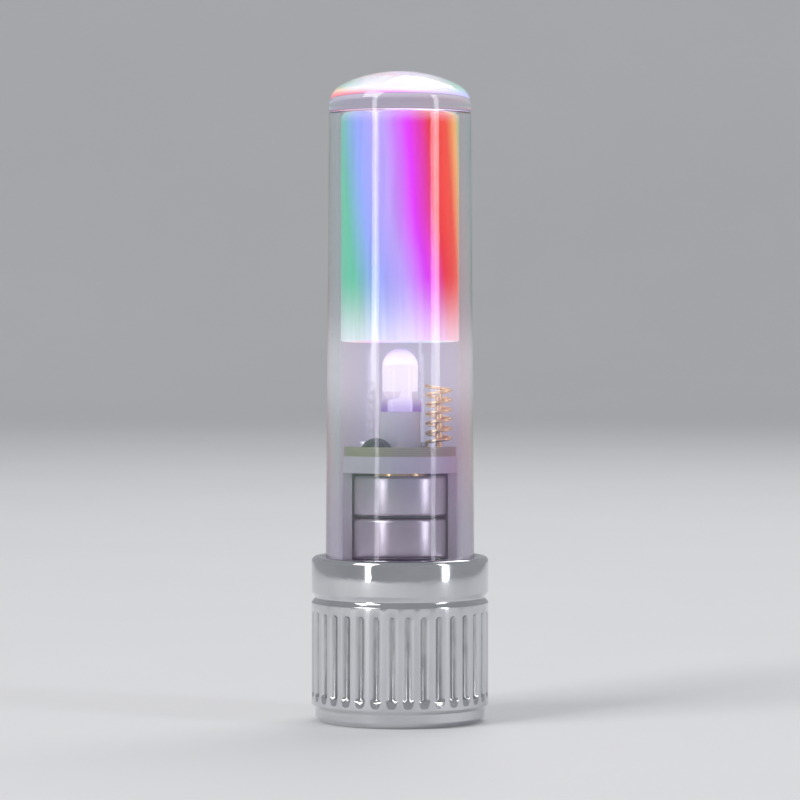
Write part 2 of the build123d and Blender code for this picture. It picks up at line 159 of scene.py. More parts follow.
def rounded(corners, segments=4):
    outline = []
    following = corners[1:] + corners[:1]
    for before, here, after in zip(corners[-1:] + corners[:-1], corners, following):
        corner = Vector(here[:2])
        if len(here) < 3:
            outline.append(corner)
            continue
        size = here[2]
        toBefore = (Vector(before[:2]) - corner).normalized()
        toAfter = (Vector(after[:2]) - corner).normalized()
        half = toBefore.angle(toAfter) / 2
        middle = corner + (toBefore + toAfter).normalized() * (size / math.sin(half))
        start = (corner + toBefore * (size / math.tan(half)) - middle).normalized()
        end = (corner + toAfter * (size / math.tan(half)) - middle).normalized()
        for k in range(segments + 1):
            outline.append(middle + start.slerp(end, k / segments) * size)
    return outline


def turned(outline, steps=128):
    # a closed outline turned about Z; its edges along the axis are left out
    mesh = bmesh.new()
    corners = [mesh.verts.new((r * mm, 0, z * mm)) for r, z in outline]
    pairs = zip(corners, corners[1:] + corners[:1])
    offAxis = [pair for pair in pairs if max(pair[0].co.x, pair[1].co.x) > mergeDistance]
    edges = [mesh.edges.new(pair) for pair in offAxis]
    bmesh.ops.spin(
        mesh, geom=corners + edges, cent=(0, 0, 0), axis=(0, 0, 1), angle=fullTurn,
        steps=steps, use_merge=True, use_duplicate=False,
    )
    closeUp(mesh)
    return mesh


def cornersIn(geometry):
    return [item for item in geometry if isinstance(item, bmesh.types.BMVert)]


def closeUp(mesh):
    bmesh.ops.remove_doubles(mesh, verts=mesh.verts, dist=mergeDistance)
    openEdges = [edge for edge in mesh.edges if edge.is_boundary]
    bmesh.ops.holes_fill(mesh, edges=openEdges, sides=0)
    bmesh.ops.recalc_face_normals(mesh, faces=mesh.faces)


def threadRidge(sizes, stepsPerTurn=64, fadeTurns=0.4, leastShare=0.02):
    # a helical ridge that fades in and out over its ends
    mesh = bmesh.new()
    root, crest = sizes["root"], sizes["crest"]
    wide, narrow = sizes["rootWidth"] / 2, sizes["crestWidth"] / 2
    section = [(root, -wide), (crest, -narrow), (crest, narrow), (root, wide)]
    corners = [mesh.verts.new((r * mm, 0, (sizes["start"] + z) * mm)) for r, z in section]
    edges = [mesh.edges.new(pair) for pair in zip(corners, corners[1:] + corners[:1])]
    steps = round(sizes["turns"] * stepsPerTurn)
    rise = sizes["pitch"] / stepsPerTurn
    bmesh.ops.spin(
        mesh, geom=corners + edges, cent=(0, 0, 0), axis=(0, 0, 1),
        angle=fullTurn * sizes["turns"], steps=steps, dvec=(0, 0, rise * mm),
        use_duplicate=False,
    )
    mesh.verts.ensure_lookup_table()
    fade = fadeTurns * stepsPerTurn
    for k, corner in enumerate(mesh.verts):
        ring = k // len(section)
        share = max(min(1, ring / fade, (steps - ring) / fade), leastShare)
        radius = math.hypot(corner.co.x, corner.co.y)
        wanted = root * mm + (radius - root * mm) * share
        corner.co.x *= wanted / radius
        corner.co.y *= wanted / radius
    closeUp(mesh)
    return mesh


def joined(first, second):
    held = bpy.data.meshes.new("held")
    second.to_mesh(held)
    second.free()
    first.from_mesh(held)
    bpy.data.meshes.remove(held)
    return first


def softened(mesh, size):
    # every edge gets a small round
    bmesh.ops.bevel(
        mesh, geom=mesh.edges[:], offset=size * mm, segments=2, profile=0.5,
        affect="EDGES", material=-1, clamp_overlap=True,
    )


def addPiece(name, mesh, body, material, replaced=(), sharp=sharpAngle):
    for face in mesh.faces:
        face.smooth = True
    for edge in mesh.edges:
        edge.smooth = edge.calc_face_angle(0) < math.radians(sharp)
    data = bpy.data.meshes.new(name)
    mesh.to_mesh(data)
    mesh.free()
    piece = bpy.data.objects.new(name, data)
    scene.collection.objects.link(piece)
    data.materials.append(material)
    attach(piece, body)
    if replaced:
        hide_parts(*replaced)


def dressNode(name, material):
    # a CAD node keeps its mesh, shaded smooth across its facets
    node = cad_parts[name]
    node.data.materials.clear()
    node.data.materials.append(material)
    for face in node.data.polygons:
        face.use_smooth = True
    weld = node.modifiers.new("weld", "WELD")
    weld.merge_threshold = weldDistance
    split = node.modifiers.new("split", "EDGE_SPLIT")
    split.split_angle = math.radians(sharpAngle)


# The light that the lamp gives. Each rise or fall runs between its two heights, in
# millimetres, and tipHeart between two squared radii.

glow = {
    "hues": [
        (0.00, (0.10, 0.56, 0.32)),
        (0.23, (0.11, 0.58, 0.34)),
        (0.36, (0.30, 0.42, 0.95)),
        (0.49, (0.52, 0.38, 0.95)),
        (0.615, (0.79, 0.01, 0.95)),
        (0.73, (0.86, 0.0, 0.012)),
        (0.83, (0.95, 0.06, 0.01)),
        (0.90, (0.90, 0.50, 0.12)),
        (0.97, (0.14, 0.56, 0.29)),
        (1.00, (0.10, 0.56, 0.32)),
    ],
    "rounds": 2,  # times the hues follow each other round the tube
    "drift": 0.06,  # turns
    "twist": 0.004,  # turns per millimetre
    "level": 40,  # height where the hues stand untwisted
    "unlit": (0.0, 0.0, 0.0),
    "white": (0.98, 0.93, 1.0),
    "lampRise": (22.5, 28.6),
    "lampFall": (38, 30.6),
    "lampWhite": 0.75,  # share of white beside the lamp
    "tipRise": (50.4, 51.3),
    "tipHeart": (18, 1),
    "tipWhite": (0.25, 0.65),  # share of white all over the tip, and added in its middle
    "fringe": (0.16, 0.03, 0.26),
    "fringeRise": (15, 24.5),
}


def glowColour(paint):
    # hue round the tube, white by the lamp and at the tip, dim where the cells stand in the way
    g = glow
    x, y, z = paint.xyz()
    around = x.math("ARCTAN2", 0 - y) / fullTurn + 0.5
    drift = (paint.noise(scale=0.08, detail=1.0) - 0.5) * g["drift"]
    turns = around + drift + (z - g["level"]) * g["twist"]
    place = (turns * g["rounds"] + 0.5).math("FRACT")
    hue = paint.node("ValToRGB", {"stops": g["hues"]}, {0: place})
    lamp = z.ramp(*g["lampRise"]) * z.ramp(*g["lampFall"]) * g["lampWhite"]
    overall, added = g["tipWhite"]
    tip = z.ramp(*g["tipRise"]) * (overall + (x * x + y * y).ramp(*g["tipHeart"]) * added)
    lit = paint.mix(lamp.math("MAXIMUM", tip), hue, g["white"])
    return paint.mix(z.ramp(*g["fringeRise"]), g["fringe"], lit)


# Base: fluted cup, plated

baseSizes = {
    "radius": 7.5,
    "fluteCount": 34,
    "fluteSteps": 20,  # corners from one flute to the next
    "fluteLow": 2.2,
    "fluteHigh": 9.4,
    "fluteDepth": 0.27,
    "fluteHalfWidth": 0.5,
    "fluteCurve": 1.4,
    "wallTolerance": 0.01,  # corners this near the radius are on the wall
    "runOut": 0.35,  # length of a flute's rounded end
    "runOutSteps": 5,
    "grooveHeight": 10.55,
    "grooveHalfWidth": 0.45,
    "grooveDepth": 0.35,
    "grooveLipRound": 0.1,
    "grooveRound": 0.3,
    "foot": [(4.9, 0.0), (6.75, 0.0, 0.08), (7.2, 0.45, 0.1), (7.2, 1.2, 0.1), (7.5, 1.5, 0.12)],
    "rim": [(7.5, 14.0, 0.45), (6.8, 14.0, 0.1), (6.45, 13.65, 0.1)],
    "bore": [  # the ring's seat, the thread's wall and the cage's seat
        (6.45, 12.3), (6.2, 12.3), (6.2, 8.8), (4.85, 8.8), (4.85, 8.2), (0, 8.2),
    ],
    "socket": [  # the washer's seat, and the rib that holds the bush
        (0, 7.4), (4.6, 7.4), (4.6, 6.5), (4.9, 6.5),
        (4.9, 3.9), (4.55, 3.9), (4.55, 2.6), (4.9, 2.6),
    ],
    "shadeDustDepth": (0.05, 0.25),  # how far below the wall the painted shade and dust begin, and lie full
    "shadeDustEnd": 0.1,  # from a flute's end to the painted shade and dust
    "shadeDustFade": 0.3,
    "thread": {
        "root": 6.24, "crest": 6.09, "rootWidth": 0.42, "crestWidth": 0.2,
        "start": 9.9, "turns": 2.1, "pitch": 1.0,
    },
}


def platedChrome():
    s = baseSizes
    # the second colour is the plate darkened by painted shade and dust in the flute valleys
    plate, shadedDustyPlate = (0.66, 0.67, 0.69), (0.20, 0.20, 0.21)
    paint = Paint("platedChrome")
    low, high = s["fluteLow"] + s["shadeDustEnd"], s["fluteHigh"] - s["shadeDustEnd"]
    # painted shade in the flute valleys, partly random dust patches: the plate is darker and
    # rougher down in the flutes
    belowWall = paint.radius().ramp(*[s["radius"] - depth for depth in s["shadeDustDepth"]])
    valley = belowWall * paint.height().band(low, high, s["shadeDustFade"])
    smears = paint.noise(scale=0.35, detail=5.0, stretch=(1, 1, 0.5)).ramp(0.42, 0.72)
    patches = paint.noise(scale=2.6, detail=4.0, stretch=(1, 1, 0.25)).ramp(0.3, 0.8)
    fluteShadeAndDust = (0.4 + patches * 0.4) * valley
    peel = paint.noise(scale=1.3, detail=2.0)  # the slight unevenness of plated plastic
    return paint.surface({
        "Base Color": paint.mix(fluteShadeAndDust * 0.8 + smears * 0.1, plate, shadedDustyPlate),
        "Metallic": 1.0,
        "Roughness": 0.06 + smears * 0.08 + fluteShadeAndDust * 0.2,
        "Normal": paint.bump(peel, depth=0.006),
    })


def cutFlutes(mesh):
    # corners on the wall move inwards where a flute runs
    s = baseSizes
    pitch = fullTurn / s["fluteCount"]
    for corner in mesh.verts:
        x, y, z = corner.co / mm
        radius = math.hypot(x, y)
        if radius < s["radius"] - s["wallTolerance"] or not s["fluteLow"] < z < s["fluteHigh"]:
            continue
        off = abs((math.atan2(y, x) + pitch / 2) % pitch - pitch / 2) * s["radius"]
        if off < s["fluteHalfWidth"]:
            ends = min(1, (z - s["fluteLow"]) / s["runOut"], (s["fluteHigh"] - z) / s["runOut"])
            along = math.sin(ends * math.pi / 2)
            across = math.cos(off / s["fluteHalfWidth"] * math.pi / 2) ** s["fluteCurve"]
            depth = s["fluteDepth"] * along * across
            corner.co.x *= (radius - depth) / radius
            corner.co.y *= (radius - depth) / radius


def makeBase():
    s = baseSizes
    r = s["radius"]
    ends = [s["runOut"] * k / s["runOutSteps"] for k in range(s["runOutSteps"] + 1)]
    low = [s["fluteLow"] + end for end in ends]
    high = [s["fluteHigh"] - end for end in reversed(ends)]
    outline = rounded([
        *s["foot"],
        *[(r, z) for z in low + high],
        (r, s["grooveHeight"] - s["grooveHalfWidth"], s["grooveLipRound"]),
        (r - s["grooveDepth"], s["grooveHeight"], s["grooveRound"]),
        (r, s["grooveHeight"] + s["grooveHalfWidth"], s["grooveLipRound"]),
        *s["rim"], *s["bore"], *s["socket"],
    ])
    mesh = turned(outline, s["fluteCount"] * s["fluteSteps"])
    cutFlutes(mesh)
    mesh = joined(mesh, threadRidge(s["thread"]))
    addPiece("flutedBase", mesh, "base", platedChrome(), ["base_shell"], sharp=40)


makeBase()
print("base made")


# Socket: brass bush with the valve's thread, and its washer

socketSizes = {
    "bush": [
        (4.3, 0.25, 0.05), (4.9, 0.25), (4.9, 2.6), (4.55, 2.6), (4.55, 3.9), (4.9, 3.9),
        (4.9, 6.5), (3.95, 6.5), (3.95, 0.6),
    ],
    "thread": {
        "root": 3.99, "crest": 3.5, "rootWidth": 0.64, "crestWidth": 0.1,
        "start": 0.95, "turns": 6.4, "pitch": 25.4 / 32,
    },
    "washer": [
        (1.8, 6.5, 0.12), (2.3, 6.5), (2.5, 6.42), (2.7, 6.5),
        (4.6, 6.5), (4.6, 7.4), (1.8, 7.4, 0.05),
    ],
}


def turnedBrass():
    bright, tarnished = (0.80, 0.57, 0.24), (0.50, 0.33, 0.13)
    faceRate, boreRate = 55, 40  # tool marks, in radians per millimetre
    paint = Paint("turnedBrass")
    tarnish = paint.noise(scale=0.8, detail=5.0).ramp(0.4, 0.75)
    toolMarks = (paint.radius() * faceRate + paint.height() * boreRate).math("SINE")
    return paint.surface({
        "Base Color": paint.mix(tarnish, bright, tarnished),
        "Metallic": 1.0,
        "Roughness": 0.2 + tarnish * 0.2,
        "Normal": paint.bump(toolMarks, depth=0.003),
    })


def blackRubber():
    clean, chalky = (0.018, 0.018, 0.02), (0.06, 0.06, 0.062)
    paint = Paint("blackRubber")
    bloom = paint.noise(scale=1.4, detail=5.0).ramp(0.45, 0.8)
    grain = paint.noise(scale=14.0, detail=3.0)
    return paint.surface({
        "Base Color": paint.mix(bloom, clean, chalky),
        "Roughness": 0.42 + bloom * 0.25,
        "Normal": paint.bump(grain, depth=0.012),
    })


def makeSocket():
    s = socketSizes
    bush = joined(turned(rounded(s["bush"])), threadRidge(s["thread"]))
    addPiece("valveBush", bush, "base", turnedBrass(), ["valve_insert"])
    washer = turned(rounded(s["washer"]))
    addPiece("valveWasher", washer, "base", rubber, ["valve_seal"])


rubber = blackRubber()
makeSocket()
print("socket made")


# Lens, its ring and the light guide

lensSizes = {
    "tip": 55.0,
    "tipRadius": 6.0,
    "crownRise": 1.7,
    "crownRadii": (4.4, 3.7, 3.0, 2.2, 1.4, 0.8),
    "cornerRadius": 1.9,
    "gateRadii": (0.62, 0.5),  # the mark of the mould's gate, in the middle of the crown
    "gateDepth": 0.07,
    "bore": [(0, 51.6), (5.1, 51.6, 0.3), (5.1, 9.5, 0.1)],
    "spigot": [(6.05, 9.5, 0.25), (6.05, 12.3), (5.62, 12.3), (5.62, 13.4), (6.3, 13.4, 0.08)],
    "steps": 192,
    "thread": {
        "root": 6.02, "crest": 6.17, "rootWidth": 0.5, "crestWidth": 0.22,
        "start": 10.4, "turns": 1.7, "pitch": 1.0,
    },
    "tint": (0.84, 0.81, 0.90),
    "hazeRise": (23.5, 29.6),
    "hazeFall": (36, 30.6),
    "hazePower": (0.22, 0.36),  # all along the lens, and added by the lamp
    "strength": 0.155,
}

ringOutline = [(5.64, 12.4, 0.34), (6.43, 12.4, 0.34), (6.43, 13.3, 0.34), (5.64, 13.3, 0.34)]

guideSizes = {
    "outline": [
        (4.0, 32.3, 0.1), (5.0, 32.3, 0.1), (5.0, 51.1, 0.3), (4.5, 51.6, 0.2), (0, 51.6),
        (0, 49.2), (1.1, 49.2, 0.2),
    ],
    "steps": 160,
    "body": (0.045, 0.04, 0.05),
    "bodyShare": 0.9,  # the rest of the base colour is the light's
    "streaks": 0.16,  # how much of the light a streak takes away
    "strength": 1.12,
}


def clearLens():
    s = lensSizes
    paint = Paint("clearLens")
    frost = paint.noise(scale=0.5, detail=4.0).ramp(0.35, 0.8)
    scuffs = paint.noise(scale=5.0, detail=3.0, stretch=(3.0, 3.0, 0.25)).ramp(0.6, 0.74)
    ripple = paint.noise(scale=0.22, detail=2.0, stretch=(1, 1, 0.35))
    z = paint.height()
    haze = z.ramp(*s["hazeRise"]) * z.ramp(*s["hazeFall"])
    overall, added = s["hazePower"]
    power = overall + haze * added
    return paint.surface({
        "Base Color": s["tint"],
        "Roughness": 0.035 + frost * 0.03 + scuffs * 0.12,
        "IOR": 1.585,
        "Transmission Weight": 1.0,
        "Emission Color": paint.mix(power, glow["unlit"], glowColour(paint)),
        "Emission Strength": s["strength"],
        "Normal": paint.bump(ripple, depth=0.02),
    })


def frostedGuide():
    s = guideSizes
    paint = Paint("frostedGuide")
    frost = paint.noise(scale=7.0, detail=3.0)
    streaks = paint.noise(scale=1.1, detail=3.0, stretch=(1.6, 1.6, 0.08)).ramp(0.3, 0.75)
    light = glowColour(paint)
    return paint.surface({
        "Base Color": paint.mix(s["bodyShare"], light, s["body"]),
        "Roughness": 0.34 + frost * 0.12,
        "Emission Color": paint.mix(streaks * s["streaks"], light, glow["unlit"]),
        "Emission Strength": s["strength"],
        "Normal": paint.bump(frost, depth=0.015),
    })


def makeLens():
    s = lensSizes
    curve = (s["tipRadius"] ** 2 + s["crownRise"] ** 2) / (2 * s["crownRise"])
    middle = s["tip"] - curve
    crown = [(r, middle + math.sqrt(curve ** 2 - r ** 2)) for r in s["crownRadii"]]
    gateEdge, gateFlat = s["gateRadii"]
    gateFoot = s["tip"] - s["gateDepth"]
    gate = [(gateEdge, s["tip"] - s["gateDepth"] / 2), (gateFlat, gateFoot), (0, gateFoot)]
    shoulder = (s["tipRadius"], s["tip"] - s["crownRise"], s["cornerRadius"])
    outline = rounded([*s["bore"], *s["spigot"], shoulder, *crown, *gate], segments=8)
    mesh = joined(turned(outline, s["steps"]), threadRidge(s["thread"]))
    addPiece("lensTube", mesh, "lens", clearLens(), ["lens"])


def makeRing():
    mesh = turned(rounded(ringOutline, segments=8))
    addPiece("lensRing", mesh, "lens_seal", rubber, ["lens_seal"])


def makeGuide():
    mesh = turned(rounded(guideSizes["outline"]), guideSizes["steps"])
    addPiece("guideRod", mesh, "lens", frostedGuide(), ["light_guide"])


makeLens()
makeRing()
makeGuide()
print("lens, ring and guide made")


# Springs

coilSizes = {
    "middleX": 3.3,
    "radius": 1.05,
    "wire": 0.3,
    "sides": 14,
    "pitch": 0.8,
    "turns": 6,
    "stepsPerTurn": 40,
    "foot": 23.8,  # height of the wire's middle at the start of the first turn
    "bend": 0.35,
    "bendSteps": 8,
    "legFoot": 22.6,
}

cellSpringSizes = {
    "footRadius": 3.25,
    "topRadius": 1.05,
    "wire": 0.35,
    "sides": 14,
    "turns": 2.75,
    "stepsPerTurn": 40,
    "foot": 9.275,
    "rise": 0.75,
}


def goldPlate():
    bright, worn = (0.93, 0.68, 0.28), (0.84, 0.58, 0.25)
    paint = Paint("goldPlate")
    drawn = paint.noise(scale=10.0, detail=3.0)
    dull = paint.noise(scale=0.6, detail=4.0, stretch=(1, 1, 0.6)).ramp(0.4, 0.85)
    return paint.surface({
        "Base Color": paint.mix(dull, bright, worn),
        "Metallic": 1.0,
        "Roughness": 0.16 + dull * 0.14,
        "Normal": paint.bump(drawn, depth=0.003),
    })


def wireSection(sizes, place):
    # the round section that is drawn along a spring
    mesh = bmesh.new()
    bmesh.ops.create_circle(
        mesh, cap_ends=False, segments=sizes["sides"], radius=sizes["wire"] / 2 * mm,
        matrix=place,
    )
    return mesh


def makeSwayCoil():
    s = coilSizes
    legX = s["middleX"] - s["radius"]
    start = Vector((legX, s["bend"], s["legFoot"]))
    mesh = wireSection(s, Matrix.Translation(start * mm))
    leg = bmesh.ops.extrude_edge_only(mesh, edges=mesh.edges[:])["geom"]
    tops = cornersIn(leg)
    rise = s["foot"] - s["bend"] - s["legFoot"]
    bmesh.ops.translate(mesh, verts=tops, vec=(0, 0, rise * mm))
    rim = [edge for edge in mesh.edges if all(corner in tops for corner in edge.verts)]
    bendMiddle = Vector((legX, 0, s["foot"] - s["bend"])) * mm
    ring = bmesh.ops.spin(
        mesh, geom=tops + rim, cent=bendMiddle, axis=(1, 0, 0), angle=math.pi / 2,
        steps=s["bendSteps"], use_duplicate=False,
    )["geom_last"]
    bmesh.ops.spin(
        mesh, geom=ring, cent=(s["middleX"] * mm, 0, 0), axis=(0, 0, 1),
        angle=fullTurn * s["turns"], steps=s["turns"] * s["stepsPerTurn"],
        dvec=(0, 0, s["pitch"] / s["stepsPerTurn"] * mm), use_duplicate=False,
    )
    closeUp(mesh)
    addPiece("swayCoil", mesh, "motion_spring", gold, ["motion_spring"])


def makeCellSpring():
    # each step turns the section a little, then draws it inwards
    s = cellSpringSizes
    start = Matrix.Translation(Vector((s["footRadius"], 0, s["foot"])) * mm)
    mesh = wireSection(s, start @ Matrix.Rotation(math.pi / 2, 4, "X"))
    ring = mesh.verts[:] + mesh.edges[:]
    steps = round(s["turns"] * s["stepsPerTurn"])
    inward = (s["footRadius"] - s["topRadius"]) / steps * mm
    for k in range(steps):
        ring = bmesh.ops.spin(
            mesh, geom=ring, cent=(0, 0, 0), axis=(0, 0, 1),
            angle=fullTurn * s["turns"] / steps, steps=1,
            dvec=(0, 0, s["rise"] / steps * mm), use_duplicate=False,
        )["geom_last"]
        angle = fullTurn * s["turns"] * (k + 1) / steps
        shift = Vector((math.cos(angle), math.sin(angle), 0)) * -inward
        bmesh.ops.translate(mesh, verts=cornersIn(ring), vec=shift)
    closeUp(mesh)
    addPiece("cellSpring", mesh, "base", gold, ["negative_spring"])


gold = goldPlate()
makeSwayCoil()
makeCellSpring()
print("springs made")


# Cells: each a can with the plus face up, over the smaller cap of the minus side

cellSizes = {
    "count": 3,
    "first": 10.2,  # height of the lowest cell's foot
    "height": 3.6,
    "can": [
        (0, 0.75), (3.35, 0.75), (3.35, 0.25, 0.08), (3.95, 0.25, 0.28),
        (3.95, 3.6, 0.3), (3.3, 3.6), (3.22, 3.56), (3.14, 3.6), (0, 3.6),
    ],
    "cap": [(0, 0), (2.5, 0), (3.07, 0.1, 0.12), (3.07, 0.75), (0, 0.75)],
    "steps": 112,
    "wallFade": (3.6, 3.8),  # radii between which the spun face becomes the drawn wall
}


def nickelCell():
    bright, marked = (0.74, 0.73, 0.70), (0.58, 0.57, 0.55)
    spinRate, unevenness = 45, 6  # radians per millimetre, and radians
    paint = Paint("nickelCell")
    radius = paint.radius()
    onWall = radius.ramp(*cellSizes["wallFade"])
    drawn = paint.noise(scale=3.0, detail=3.0, stretch=(1.0, 1.0, 9.0))
    spun = (radius * spinRate + paint.noise(scale=1.0) * unevenness).math("SINE") * 0.5 + 0.5
    marks = drawn * onWall + spun * (1 - onWall)
    scratches = paint.noise(scale=2.2, detail=4.0, stretch=(0.6, 4.0, 1.0)).ramp(0.62, 0.7)
    return paint.surface({
        "Base Color": paint.mix(marks * 0.4, bright, marked),
        "Metallic": 1.0,
        "Roughness": 0.24 + marks * 0.12 + scratches * 0.15,
        "Normal": paint.bump(marks - scratches, depth=0.003),
    })


def makeCells():
    s = cellSizes
    nickel = nickelCell()
    for n in range(s["count"]):
        low = s["first"] + n * s["height"]
        can, cap = (
            turned([(r, z + low) for r, z in rounded(s[part])], s["steps"])
            for part in ("can", "cap")
        )
        mesh = joined(can, cap)
        addPiece(f"cellCan{n + 1}", mesh, "base", nickel, [f"cell_{n + 1}"])


makeCells()
print("cells made")


# Chips' metal ends

chipSizes = {
    "offset": 2.9,  # from the light's axis to the chip's middle
    "length": 1.6,
    "width": 0.8,
    "height": 0.45,
    "board": 23.4,  # height of the board's upper face
    "end": 0.3,  # length of a metal end
    "skin": 0.03,  # how far the metal stands out from the chip
    "softening": 0.05,
    "angles": {"resistorEnds": (62, 165), "capacitorEnds": (113,)},  # degrees
}


def brightSolder():
    smooth, dulled = (0.80, 0.80, 0.81), (0.62, 0.62, 0.64)
    paint = Paint("brightSolder")
    frosty = paint.noise(scale=5.0, detail=4.0)
    return paint.surface({
        "Base Color": paint.mix(frosty, smooth, dulled),
        "Metallic": 1.0,
        "Roughness": 0.2 + frosty * 0.18,
        "Normal": paint.bump(frosty, depth=0.02),
    })


def makeChipEnds(name, angles):
    s = chipSizes
    mesh = bmesh.new()
    size = (s["width"] + s["skin"] * 2, s["end"] + s["skin"], s["height"] + s["skin"])
    lift = Matrix.Translation(Vector((0, 0, s["board"] + (s["height"] + s["skin"]) / 2)) * mm)
    for angle in angles:
        turn = Matrix.Rotation(math.radians(angle), 4, "Z")
        for side in (-1, 1):
            reach = Vector((s["offset"], side * (s["length"] - s["end"] + s["skin"]) / 2, 0))
            place = lift @ turn @ Matrix.Translation(reach * mm) @ Matrix.Diagonal((*size, 1))
            bmesh.ops.create_cube(mesh, size=mm, matrix=place)
    softened(mesh, s["softening"])
    addPiece(name, mesh, "base", solder)


solder = brightSolder()
for name, angles in chipSizes["angles"].items():
    makeChipEnds(name, angles)
print("chip ends made")


# Polarity marks, raised on the cage's sides: a plus near the board, a minus near the spring

markSizes = {
    "plus": 19.0,  # heights of the marks
    "minus": 11.8,
    "reach": 0.65,
    "width": 0.32,
    "wall": 4.85,  # radius of the cage
    "raise": 0.08,
    "sunk": 0.1,
    "softening": 0.03,
    "bendCuts": 6,
}


def mouldedWhite():
    cool, warm = (0.80, 0.80, 0.79), (0.88, 0.87, 0.84)
    paint = Paint("mouldedWhite")
    spark = paint.noise(scale=11.0, detail=2.0)
    flow = paint.noise(scale=0.4, detail=3.0, stretch=(1, 1, 0.3))
    return paint.surface({
        "Base Color": paint.mix(flow.ramp(0.35, 0.7), cool, warm),
        "Roughness": 0.48 + flow * 0.1,
        "Normal": paint.bump(spark, depth=0.01),
    })


def makePolarityMarks():
    s = markSizes
    mesh = bmesh.new()
    length = s["reach"] * 2
    thick = s["raise"] + s["sunk"]
    out = s["wall"] + (s["raise"] - s["sunk"]) / 2
    bars = [
        (s["plus"], length, s["width"]),
        (s["plus"], s["width"], length),
        (s["minus"], length, s["width"]),
    ]
    for height, across, tall in bars:
        for side in (-1, 1):
            place = Matrix.Translation(Vector((side * out, 0, height)) * mm)
            size = Matrix.Diagonal((thick, across, tall, 1))
            bmesh.ops.create_cube(mesh, size=mm, matrix=place @ size)
    softened(mesh, s["softening"])
    cuts = []
    for edge in mesh.edges:
        first, second = edge.verts
        if abs(first.co.y - second.co.y) > s["width"] * mm:
            cuts.append(edge)
    bmesh.ops.subdivide_edges(mesh, edges=cuts, cuts=s["bendCuts"], use_grid_fill=True)
    for corner in mesh.verts:
        # bent round the cage's wall
        x, y = corner.co.xy
        corner.co.x = math.copysign(math.sqrt(x * x - y * y), x)
    closeUp(mesh)
    addPiece("polarityMarks", mesh, "base", white)


white = mouldedWhite()
makePolarityMarks()
print("polarity marks made")


# CAD nodes that keep their shape

boardSizes = {
    "radius": 4.75,
    "trackHalfWidth": 0.11,
    "padRadius": 0.62,
    "edge": 0.03,  # softness of a track's or pad's outline
    "rimFade": (0.06, 0.03),  # how far inside the board's edge the cut shows
    "layerRate": 40,  # radians per millimetre
    "resist": (0.012, 0.15, 0.055),
    "overCopper": (0.03, 0.32, 0.11),
    "tinned": (0.74, 0.66, 0.48),
    "laminate": [(0.42, 0.43, 0.22), (0.55, 0.55, 0.34)],
    "pads": [(-1.0, 0.0), (1.0, 0.0), (3.3, 0.0), (2.25, 0.35), (0.0, -1.9)],
    "tracks": [
        (2.2, 2.0, 1.0, 0.0), (0.55, 3.1, 0.0, 4.0), (-1.9, -1.4, -1.0, 0.0),
        (-1.9, -3.4, 0.0, -1.9), (2.25, 0.35, 1.6, 2.4), (3.3, 0.0, 2.2, -2.6),
        (2.2, -2.6, -0.8, -3.4), (-2.9, 1.4, -3.2, -1.4), (-2.6, 0.2, -1.0, 0.0),
        (-1.8, 2.5, -2.9, 1.4), (-1.8, 2.5, 0.0, 4.0),
    ],
}


def greenBoard():
    # copper tracks under green resist, and a bare ring round each soldered hole
    s = boardSizes
    paint = Paint("greenBoard")
    x, y, z = paint.xyz()
    tracks = pads = None
    for x1, y1, x2, y2 in s["tracks"]:
        length = math.dist((x1, y1), (x2, y2))
        along = (x - x1) * ((x2 - x1) / length ** 2) + (y - y1) * ((y2 - y1) / length ** 2)
        along = along.math("MAXIMUM", 0.0).math("MINIMUM", 1.0)
        dx = x - x1 - along * (x2 - x1)
        dy = y - y1 - along * (y2 - y1)
        outer = (s["trackHalfWidth"] + s["edge"]) ** 2
        line = (dx * dx + dy * dy).ramp(outer, s["trackHalfWidth"] ** 2)
        tracks = line if tracks is None else tracks.math("MAXIMUM", line)
    for px, py in s["pads"]:
        away = ((x - px) * (x - px) + (y - py) * (y - py)) ** 0.5
        ring = away.ramp(s["padRadius"] + s["edge"], s["padRadius"])
        pads = ring if pads is None else pads.math("MAXIMUM", ring)
    rim = (x * x + y * y).ramp(*[(s["radius"] - inside) ** 2 for inside in s["rimFade"]])
    weave = paint.noise(scale=9.0, detail=2.0)
    layers = (z * s["layerRate"]).math("SINE") * 0.5 + 0.5
    resist = paint.mix(tracks * 0.8, s["resist"], s["overCopper"])
    face = paint.mix(pads, resist, s["tinned"])
    cutEdge = paint.mix(layers, *s["laminate"])
    return paint.surface({
        "Base Color": paint.mix(rim, face, cutEdge),
        "Metallic": pads * (1 - rim),
        "Roughness": 0.22 + rim * 0.4 + weave * 0.08,
        "Normal": paint.bump(tracks.math("MAXIMUM", pads) + weave * 0.15, depth=0.035),
    })


def nylonGasket():
    dark, light = (0.10, 0.17, 0.16), (0.16, 0.24, 0.22)
    paint = Paint("nylonGasket")
    grain = paint.noise(scale=12.0, detail=2.0)
    return paint.surface({
        "Base Color": paint.mix(grain, dark, light),
        "Roughness": 0.4 + grain * 0.1,
        "Normal": paint.bump(grain, depth=0.006),
    })


def blackEpoxy():
    dark, light = (0.012, 0.012, 0.014), (0.03, 0.03, 0.032)
    paint = Paint("blackEpoxy")
    dimples = paint.noise(scale=1.6, detail=3.0)
    return paint.surface({
        "Base Color": paint.mix(dimples, dark, light),
        "Roughness": 0.16 + dimples * 0.14,
        "Normal": paint.bump(dimples, depth=0.05),
    })


def chipBody(name, dark, light):
    paint = Paint(name)
    grain = paint.noise(scale=9.0, detail=3.0)
    return paint.surface({
        "Base Color": paint.mix(grain, dark, light),
        "Roughness": 0.32 + grain * 0.15,
        "Normal": paint.bump(grain, depth=0.01),
    })


